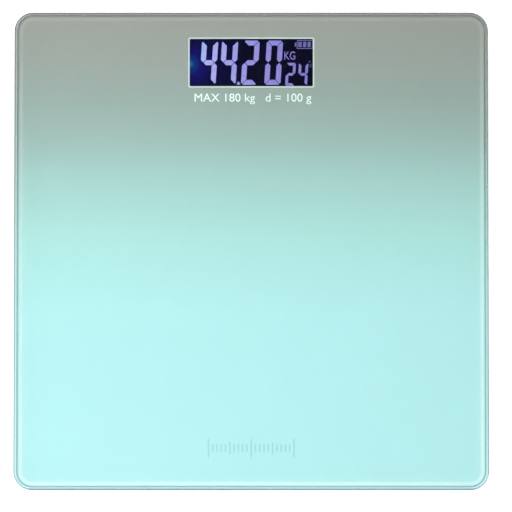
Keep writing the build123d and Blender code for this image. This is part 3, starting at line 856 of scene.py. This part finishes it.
# The painted highlight along the rim is faint at the display end and stronger at the front.
PAINTED_HIGHLIGHT_GAIN = (0.07, 0.4)
# Millimetres from the display end of the glass, and the screen colour there.
PRINT_STOPS = (
    (0, (167, 165, 159)),
    (30, (164, 169, 164)),
    (55, (163, 178, 173)),
    (81, (168, 193, 188)),
    (106, (177, 214, 210)),
    (144, (187, 234, 231)),
    (190, (195, 244, 247)),
    (302, (202, 251, 255)),
)
RIM_BAND = 8 * MM
# Distance from the rim, and how much of the painted highlight is seen there.
PAINTED_RIM_HIGHLIGHT = (
    (0.0, 0.0),
    (2.7 * MM, 0.0),
    (3.2 * MM, 1.0),
    (4.4 * MM, 1.0),
    (5.6 * MM, 0.15),
    (8.0 * MM, 0.0),
)


def print_colour(tree):
    """The colour blend along Y, as a socket."""
    along = scaled(tree, coordinate(tree, "Y"), glass_high.y, glass_low.y)
    depth = (glass_high.y - glass_low.y) / MM
    stops = []
    for distance, colour in PRINT_STOPS:
        level = tuple(value * PRINT_LEVEL for value in screen_colour(*colour)[:3])
        stops.append((distance / depth, level + (1.0,)))
    return ramp_of(tree, along, stops)


def rear_to_front(tree, at_rear, at_front):
    """A value that changes evenly from the display end to the front edge."""
    share = scaled(tree, coordinate(tree, "Y"), glass_high.y, glass_low.y)
    change = calculate(tree, "MULTIPLY", share, at_front - at_rear)
    return calculate(tree, "ADD", change, at_rear)


def gradient_print():
    """The print, with a painted highlight: a pale line where the rounded rim of the glass gathers light.
    """
    material, tree, shader = new_material("gradient_print")
    from_rim = scaled(tree, rim_distance(tree), 0.0, RIM_BAND)
    # Painted highlight: the print's colour is mixed towards white in a band inside the rim.
    line = ramp_of(tree, from_rim, [(place / RIM_BAND, grey(level)) for place, level in PAINTED_RIM_HIGHLIGHT])
    bright = add_node(tree, "ShaderNodeMix", data_type="RGBA")
    gain = rear_to_front(tree, *PAINTED_HIGHLIGHT_GAIN)
    tree.links.new(calculate(tree, "MULTIPLY", line, gain), bright.inputs["Factor"])
    tree.links.new(print_colour(tree), bright.inputs[MIX_FIRST])
    bright.inputs[MIX_SECOND].default_value = grey(1.0)
    colour = tinted(tree, bright.outputs[MIX_RESULT], mottle(tree, scale=220.0, low=0.985, high=1.0))
    tree.links.new(colour, shader.inputs["Base Color"])
    tree.links.new(mottle(tree, scale=90.0, low=0.5, high=0.7), shader.inputs["Roughness"])
    shader.inputs["Specular IOR Level"].default_value = 0.2
    return material


# %% [markdown]
# ## Polished rim and its painted light
# The ground edge of the pane is half clear glass and half haze. The haze carries the same blend
# as the print, as painted light that stands for the print seen through the edge, with painted
# dark and pale lines along the rim and a painted shadow line under the front edge.

# %% Rim material with painted light
# Share of haze, which carries the painted light, against clear glass.
EDGE_HAZE_AND_PAINTED_SHARE = 0.62
# How bright the painted light of the rim is at the display end and at the front edge.
PAINTED_EDGE_BRIGHTNESS = (1.0, 1.5)
RIM_TINT = (0.93, 1.0, 0.97, 1.0)
RIM_GLASS_ROUGHNESS = 0.02
# Distance from the rim, and the tone there as a share of the print's colour: painted dark and
# pale lines, where the rounded edge would bend the view.
PAINTED_EDGE_LINE_TONES = (
    (0.0, 0.12),
    (0.6 * MM, 0.2),
    (0.9 * MM, 0.6),
    (1.2 * MM, 1.0),
    (1.6 * MM, 1.0),
    (2.0 * MM, 0.66),
    (2.4 * MM, 0.74),
)
# A painted shadow line along the front edge: its width, its tone and the share that stays fully dark.
FRONT_SHADOW_WIDTH = 1.5 * MM
FRONT_SHADOW_TONE = 0.3
FRONT_SHADOW_FADE = 0.6


def rim_with_painted_light():
    """Ground glass and haze that carries the print's colour, painted rim lines and a painted shadow."""
    material, tree, shader = new_material("rim_with_painted_light")
    from_rim = scaled(tree, rim_distance(tree), 0.0, RIM_BAND)
    # Painted shade and highlight: dark and pale lines by distance from the rim.
    tone = ramp_of(tree, from_rim, [(place / RIM_BAND, grey(level)) for place, level in PAINTED_EDGE_LINE_TONES])
    strength = calculate(tree, "MULTIPLY", rear_to_front(tree, *PAINTED_EDGE_BRIGHTNESS), tone)
    # Painted shadow: the rim darkens along the front edge.
    front = scaled(tree, coordinate(tree, "Y"), glass_low.y, glass_low.y + FRONT_SHADOW_WIDTH)
    dark = grey(FRONT_SHADOW_TONE)
    shade = ramp_of(tree, front, [(0.0, dark), (FRONT_SHADOW_FADE, dark), (1.0, grey(1.0))])
    strength = calculate(tree, "MULTIPLY", strength, shade)
    tree.links.new(tinted(tree, print_colour(tree), strength), shader.inputs["Base Color"])
    tree.links.new(mottle(tree, scale=400.0, low=0.15, high=0.3), shader.inputs["Roughness"])
    glass = add_node(tree, "ShaderNodeBsdfPrincipled")
    glass.inputs["Base Color"].default_value = RIM_TINT
    glass.inputs["Transmission Weight"].default_value = 1.0
    glass.inputs["Roughness"].default_value = RIM_GLASS_ROUGHNESS
    # The haze layer carries the print's colour and the painted lines as painted light.
    haze_with_painted_light = add_node(tree, "ShaderNodeMixShader", Fac=EDGE_HAZE_AND_PAINTED_SHARE)
    tree.links.new(glass.outputs["BSDF"], haze_with_painted_light.inputs[1])
    tree.links.new(shader.outputs["BSDF"], haze_with_painted_light.inputs[2])
    let_shadows_through(tree, haze_with_painted_light.outputs["Shader"])
    return material


# %% [markdown]
# ## Inks and light
# The white ink is bright and matt. The ticks are a slightly deeper tone than the print. A lit
# segment is an emitter whose colour drifts from pale blue near the lamp to violet further off.

# %% Ink and segment materials
INK_ROUGHNESS = 0.55


def ink_material(name, colour, low=0.94):
    """Matt ink of one colour, a little uneven down to a share of it."""
    material, tree, shader = new_material(name)
    tone = tinted(tree, screen_colour(*colour), mottle(tree, scale=900.0, low=low, high=1.0))
    tree.links.new(tone, shader.inputs["Base Color"])
    shader.inputs["Roughness"].default_value = INK_ROUGHNESS
    return material


# Share of the window's width from the lamp's side, and the colour of the light there.
SEGMENT_COLOURS = (
    (0.0, (150, 200, 245)),
    (0.16, (172, 172, 240)),
    (0.45, (152, 144, 226)),
    (1.0, (122, 112, 195)),
)
SEGMENT_BASE = (0.02, 0.02, 0.06, 1.0)
PANEL_BASE = (0.002, 0.002, 0.006, 1.0)
LAMP_BELOW_MIDDLE = 1.0 * MM
GLOW_REACH = 36 * MM
# Share of the reach of the lamp's glow, and its colour there.
GLOW_COLOURS = (
    (0.0, (12, 118, 135)),
    (0.08, (14, 52, 128)),
    (0.2, (20, 16, 100)),
    (0.45, (12, 8, 56)),
    (1.0, (6, 5, 26)),
)


def lit_segment(name, strength):
    """Light through the open segments, bluer near the lamp on the left."""
    material, tree, shader = new_material(name)
    across = scaled(tree, coordinate(tree, "X"), window_low.x, window_high.x)
    colours = [(place, screen_colour(*colour)) for place, colour in SEGMENT_COLOURS]
    colour = tinted(tree, ramp_of(tree, across, colours), mottle(tree, scale=400.0, low=0.85, high=1.05))
    tree.links.new(colour, shader.inputs["Emission Color"])
    shader.inputs["Emission Strength"].default_value = strength
    shader.inputs["Base Color"].default_value = SEGMENT_BASE
    tree.links.new(mottle(tree, scale=200.0, low=0.3, high=0.5), shader.inputs["Roughness"])
    return material


def display_glass():
    """Near-black panel glass with the lamp's light leaking in at its left edge."""
    material, tree, shader = new_material("display_glass")
    shader.inputs["Base Color"].default_value = PANEL_BASE
    shader.inputs["Specular IOR Level"].default_value = 0.05
    tree.links.new(mottle(tree, scale=80.0, low=0.2, high=0.3), shader.inputs["Roughness"])
    lamp = Vector((window_low.x, window_middle.y - LAMP_BELOW_MIDDLE, panel_high.z))
    away = add_node(tree, "ShaderNodeVectorMath", operation="DISTANCE")
    away.inputs[1].default_value = lamp
    tree.links.new(object_place(tree), away.inputs[0])
    near = scaled(tree, away.outputs["Value"], 0.0, GLOW_REACH)
    colours = [(place, screen_colour(*colour)) for place, colour in GLOW_COLOURS]
    tree.links.new(ramp_of(tree, near, colours), shader.inputs["Emission Color"])
    shader.inputs["Emission Strength"].default_value = 1.0
    return material


# %% [markdown]
# ## Moulded and stamped pieces
# The underside is injection-moulded plastic with a fine spark-eroded texture, rubber pads, and
# bright pressed steel inside. They differ in colour, in roughness and in the size of their grain.

# %% Materials of the hidden side
ROUGHNESS_SPREAD = 0.06
GRAIN_STRENGTH = 0.35
SCRATCH_STRENGTH = 0.2
SCRATCH_DEPTH = 0.02 * MM
SCRATCH_SMOOTHER = 0.1
SCRATCH_ROUGHER = 0.15


def moulded(name, colour, roughness=0.5, grain=2600.0, depth=0.03 * MM, low=0.95):
    """Moulded plastic or rubber: a fine grain, soft roughness changes, a slightly uneven tone."""
    material, tree, shader = new_material(name)
    tone = tinted(tree, screen_colour(*colour), mottle(tree, scale=60.0, low=low, high=1.0))
    tree.links.new(tone, shader.inputs["Base Color"])
    low_end, high_end = roughness - ROUGHNESS_SPREAD, roughness + ROUGHNESS_SPREAD
    tree.links.new(mottle(tree, scale=140.0, low=low_end, high=high_end), shader.inputs["Roughness"])
    add_bump(tree, shader, mottle(tree, scale=grain, low=0.0, high=1.0), GRAIN_STRENGTH, depth)
    return material


def metal(name, colour, roughness=0.3, grain=(40.0, 900.0, 900.0)):
    """Pressed or plated metal with drawn-out fine scratches."""
    material, tree, shader = new_material(name)
    shader.inputs["Metallic"].default_value = 1.0
    mapping = add_node(tree, "ShaderNodeMapping")
    mapping.inputs["Scale"].default_value = grain
    noise = add_node(tree, "ShaderNodeTexNoise", Scale=1.0, Detail=3.0)
    tree.links.new(object_place(tree), mapping.inputs["Vector"])
    tree.links.new(mapping.outputs["Vector"], noise.inputs["Vector"])
    spread = add_node(tree, "ShaderNodeMapRange")
    spread.inputs["To Min"].default_value = roughness - SCRATCH_SMOOTHER
    spread.inputs["To Max"].default_value = roughness + SCRATCH_ROUGHER
    tree.links.new(noise.outputs["Fac"], spread.inputs["Value"])
    tree.links.new(spread.outputs["Result"], shader.inputs["Roughness"])
    tone = tinted(tree, screen_colour(*colour), mottle(tree, scale=300.0, low=0.9, high=1.0))
    tree.links.new(tone, shader.inputs["Base Color"])
    add_bump(tree, shader, noise.outputs["Fac"], SCRATCH_STRENGTH, SCRATCH_DEPTH)
    return material


CAP_LENGTH = 2.2 * MM
BAND_LENGTH = 11 * MM
CELL_STEEL = (205, 205, 200)
SLEEVE_COLOUR = (24, 62, 96)
BAND_COLOUR = (214, 178, 92)


def cell_jacket(name, node, plus_side):
    """A printed sleeve with a pale band at the plus end, between bare metal caps."""
    material, tree, shader = new_material(name)
    low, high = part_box(node)
    minus, plus = (low.x, high.x) if plus_side > 0 else (high.x, low.x)
    along = scaled(tree, coordinate(tree, "X"), minus, plus)
    cap, band = CAP_LENGTH / (high.x - low.x), BAND_LENGTH / (high.x - low.x)
    steel = screen_colour(*CELL_STEEL)
    sleeve = screen_colour(*SLEEVE_COLOUR)
    pale = screen_colour(*BAND_COLOUR)
    stops = [(0.0, steel), (cap / 2, sleeve), (1 - cap - band, pale), (1 - cap, steel)]
    printed = ramp_of(tree, along, stops, "CONSTANT")
    colour = tinted(tree, printed, mottle(tree, scale=300.0, low=0.92, high=1.0))
    tree.links.new(colour, shader.inputs["Base Color"])
    bare = ((0.0, grey(1.0)), (cap / 2, grey(0.0)), (1 - cap, grey(1.0)))
    tree.links.new(ramp_of(tree, along, bare, "CONSTANT"), shader.inputs["Metallic"])
    tree.links.new(mottle(tree, scale=120.0, low=0.2, high=0.32), shader.inputs["Roughness"])
    return material


MATERIALS = {
    "platform_glass": tempered_glass(),
    "back_print": gradient_print(),
    "white_shell": moulded("white_shell", (208, 211, 211)),
    "grey_shell": moulded("grey_shell", (150, 155, 158)),
    "foot_rubber": moulded("foot_rubber", (58, 60, 62), roughness=0.75, grain=1500.0),
    "cell_steel": metal("cell_steel", (196, 196, 198)),
    "gauge_silicone": moulded("gauge_silicone", (232, 232, 228), roughness=0.4, grain=500.0),
    "foam_tape": moulded("foam_tape", (222, 222, 216), roughness=0.85, grain=1800.0),
    "foam_black": moulded("foam_black", (24, 24, 26), roughness=0.9, grain=1800.0),
    "lcd_glass": display_glass(),
    "display_light": lit_segment("lit_segment", 1.0),
    "guide_acrylic": moulded("guide_acrylic", (225, 230, 240), roughness=0.2, grain=900.0),
    "holder_white": moulded("holder_white", (232, 232, 228), roughness=0.35),
    "connector_rubber": moulded("connector_rubber", (205, 150, 150), roughness=0.5),
    "board_laminate": moulded("board_laminate", (28, 92, 48), roughness=0.3, grain=700.0),
    "chip_epoxy": moulded("chip_epoxy", (16, 16, 18), roughness=0.25, grain=400.0),
    "component_ceramic": moulded("component_ceramic", (170, 150, 120), roughness=0.4),
    "screw_steel": metal("screw_steel", (205, 205, 208), roughness=0.25),
    "switch_black": moulded("switch_black", (22, 22, 24), roughness=0.45),
    "battery_jacket": cell_jacket("battery_jacket", "battery_front", -1),
    "contact_nickel": metal("contact_nickel", (214, 210, 200), roughness=0.22),
    "wire_pvc": moulded("wire_pvc", (190, 40, 34), roughness=0.4, grain=900.0),
}
WHITE_INK = ink_material("white_ink", (230, 242, 240))
OUTLINE_INK = ink_material("outline_ink", (202, 212, 208), low=0.88)
TICK_INK = ink_material("tick_ink", (156, 208, 208))
MARK_INK = ink_material("mark_ink", (112, 118, 122), low=0.85)

# %% Paint every piece
FLAT_FACE = 0.999
DIM_STRENGTH = 0.6


def paint(piece, material):
    """Gives a piece one material, in every slot it has."""
    if not piece.data.materials:
        piece.data.materials.append(material)
    for place in piece.material_slots:
        place.material = material


slot_of_node = {part["node"]: part["material_slot"] for part in frame["record"]["subparts"]}
for node, piece in frame["nodes"].items():
    paint(piece, MATERIALS[slot_of_node[node]])
paint(pane, MATERIALS["platform_glass"])
pane.data.materials.append(rim_with_painted_light())
for face in pane.data.polygons:
    face.material_index = 0 if abs(face.normal.z) > FLAT_FACE else 1
paint(frame["nodes"]["battery_rear"], cell_jacket("turned_jacket", "battery_rear", 1))
for mark in marks:
    paint(mark, MARK_INK)
paint(inks["window_outline"], OUTLINE_INK)
paint(inks["capacity_line"], WHITE_INK)
paint(inks["tick_row"], TICK_INK)
DIM_SEGMENT = lit_segment("dim_segment", DIM_STRENGTH)
for piece in reading:
    paint(piece, DIM_SEGMENT if piece.name in DIM_SIGNS else MATERIALS["display_light"])
modelled_here = 1 + len(inks) + len(reading) + len(marks)
print("painted", len(frame["nodes"]), "loaded pieces and", modelled_here, "modelled here")

# %% [markdown]
# ## Studio
# A plain pale floor, soft light from above and a camera almost straight over the scale. The
# floor can be seen only from above, so a view from below looks through it at the underside.

# %% Floor
FLOOR_SIZE = 12.0
FLOOR_DROP = 0.2 * MM
FLOOR_GLOW = 0.55
FLOOR_COLOUR = (0.9, 0.9, 0.9, 1.0)
FLOOR_ROUGHNESS = 0.9
# Painted shade: the floor as seen through the glass, dim and tinted, for the shade under the scale.
FLOOR_SHADE_SEEN_THROUGH_GLASS = (0.22, 0.28, 0.28, 1.0)


def studio_floor():
    """A glowing pale floor with painted shade where seen through the glass, and clear from below."""
    start_fresh()
    bpy.ops.mesh.primitive_plane_add(size=FLOOR_SIZE, location=(0, 0, cad_low.z - FLOOR_DROP))
    floor = settle(bpy.context.object, "studio_floor")
    material, tree, shader = new_material("studio_floor")
    shader.inputs["Base Color"].default_value = FLOOR_COLOUR
    shader.inputs["Roughness"].default_value = FLOOR_ROUGHNESS
    shader.inputs["Emission Color"].default_value = grey(1.0)
    shader.inputs["Emission Strength"].default_value = FLOOR_GLOW
    # Painted shade for rays that pass through the glass.
    dim = add_node(tree, "ShaderNodeBsdfDiffuse", Color=FLOOR_SHADE_SEEN_THROUGH_GLASS)
    path = tree.nodes.new("ShaderNodeLightPath")
    clear = tree.nodes.new("ShaderNodeBsdfTransparent")
    side = tree.nodes.new("ShaderNodeNewGeometry")
    through = tree.nodes.new("ShaderNodeMixShader")
    mix = tree.nodes.new("ShaderNodeMixShader")
    output = next(node for node in tree.nodes if node.type == "OUTPUT_MATERIAL")
    tree.links.new(path.outputs["Is Transmission Ray"], through.inputs["Fac"])
    tree.links.new(shader.outputs["BSDF"], through.inputs[1])
    tree.links.new(dim.outputs["BSDF"], through.inputs[2])
    tree.links.new(side.outputs["Backfacing"], mix.inputs["Fac"])
    tree.links.new(through.outputs["Shader"], mix.inputs[1])
    tree.links.new(clear.outputs["BSDF"], mix.inputs[2])
    tree.links.new(mix.outputs["Shader"], output.inputs["Surface"])
    paint(floor, material)


# %% Lights
LAMPS = (
    ("key", (-1.0, 0.6, 1.3), 1.2, 20),
    ("fill", (1.2, -0.9, 1.5), 1.6, 5),
)


def area_light(name, place, size, power):
    """A square lamp that points at the middle of the scale."""
    start_fresh()
    bpy.ops.object.light_add(type="AREA", location=place)
    lamp = bpy.context.object
    lamp.name = name
    lamp.data.size = size
    lamp.data.energy = power
    lamp.rotation_euler = (-Vector(place)).to_track_quat("-Z", "Y").to_euler()


# Height in the sky, from straight below to straight above, and the level of light there.
SKY_STOPS = (
    (0.0, 0.62),
    (0.47, 0.55),
    (0.5, 0.6),
    (0.62, 0.8),
    (0.93, 1.0),
    (0.975, 0.35),
    (0.99, 0.0),
)
SKY_LEVEL = 0.74
BACKDROP_LEVEL = 0.82


def studio_world():
    """Soft light all round, with a dark patch straight above that keeps glare off the display."""
    world = bpy.data.worlds.new("studio")
    bpy.context.scene.world = world
    world.use_nodes = True
    tree = world.node_tree
    height = scaled(tree, coordinate(tree, "Z"), -1.0, 1.0)
    soft = tree.nodes["Background"]
    soft.inputs["Strength"].default_value = SKY_LEVEL
    stops = [(place, grey(level)) for place, level in SKY_STOPS]
    tree.links.new(ramp_of(tree, height, stops), soft.inputs["Color"])
    backdrop = add_node(tree, "ShaderNodeBackground", Strength=BACKDROP_LEVEL)
    path = tree.nodes.new("ShaderNodeLightPath")
    mix = tree.nodes.new("ShaderNodeMixShader")
    output = next(node for node in tree.nodes if node.type == "OUTPUT_WORLD")
    tree.links.new(path.outputs["Is Camera Ray"], mix.inputs["Fac"])
    tree.links.new(soft.outputs["Background"], mix.inputs[1])
    tree.links.new(backdrop.outputs["Background"], mix.inputs[2])
    tree.links.new(mix.outputs["Shader"], output.inputs["Surface"])


# %% Camera
GLASS_SHARE = 0.92890625
CAMERA_AIM = (3.0 * MM, -3.4 * MM)
CAMERA_DISTANCE = 1.6
CAMERA_ELEVATION = math.radians(88.3)


def studio_camera():
    """Almost straight above, a little towards the reader, with a long lens."""
    bpy.ops.object.camera_add()
    camera = bpy.context.object
    frame_width = (glass_high.x - glass_low.x) / GLASS_SHARE
    camera.data.lens = camera.data.sensor_width * CAMERA_DISTANCE / frame_width
    aim = Vector((*CAMERA_AIM, cad_high.z))
    back = Vector((0, -math.cos(CAMERA_ELEVATION), math.sin(CAMERA_ELEVATION)))
    camera.location = aim + back * CAMERA_DISTANCE
    camera.rotation_euler = (-back).to_track_quat("-Z", "Y").to_euler()
    bpy.context.scene.camera = camera


studio_floor()
studio_world()
for lamp in LAMPS:
    area_light(*lamp)
studio_camera()
bpy.context.scene.view_settings.view_transform = "Standard"
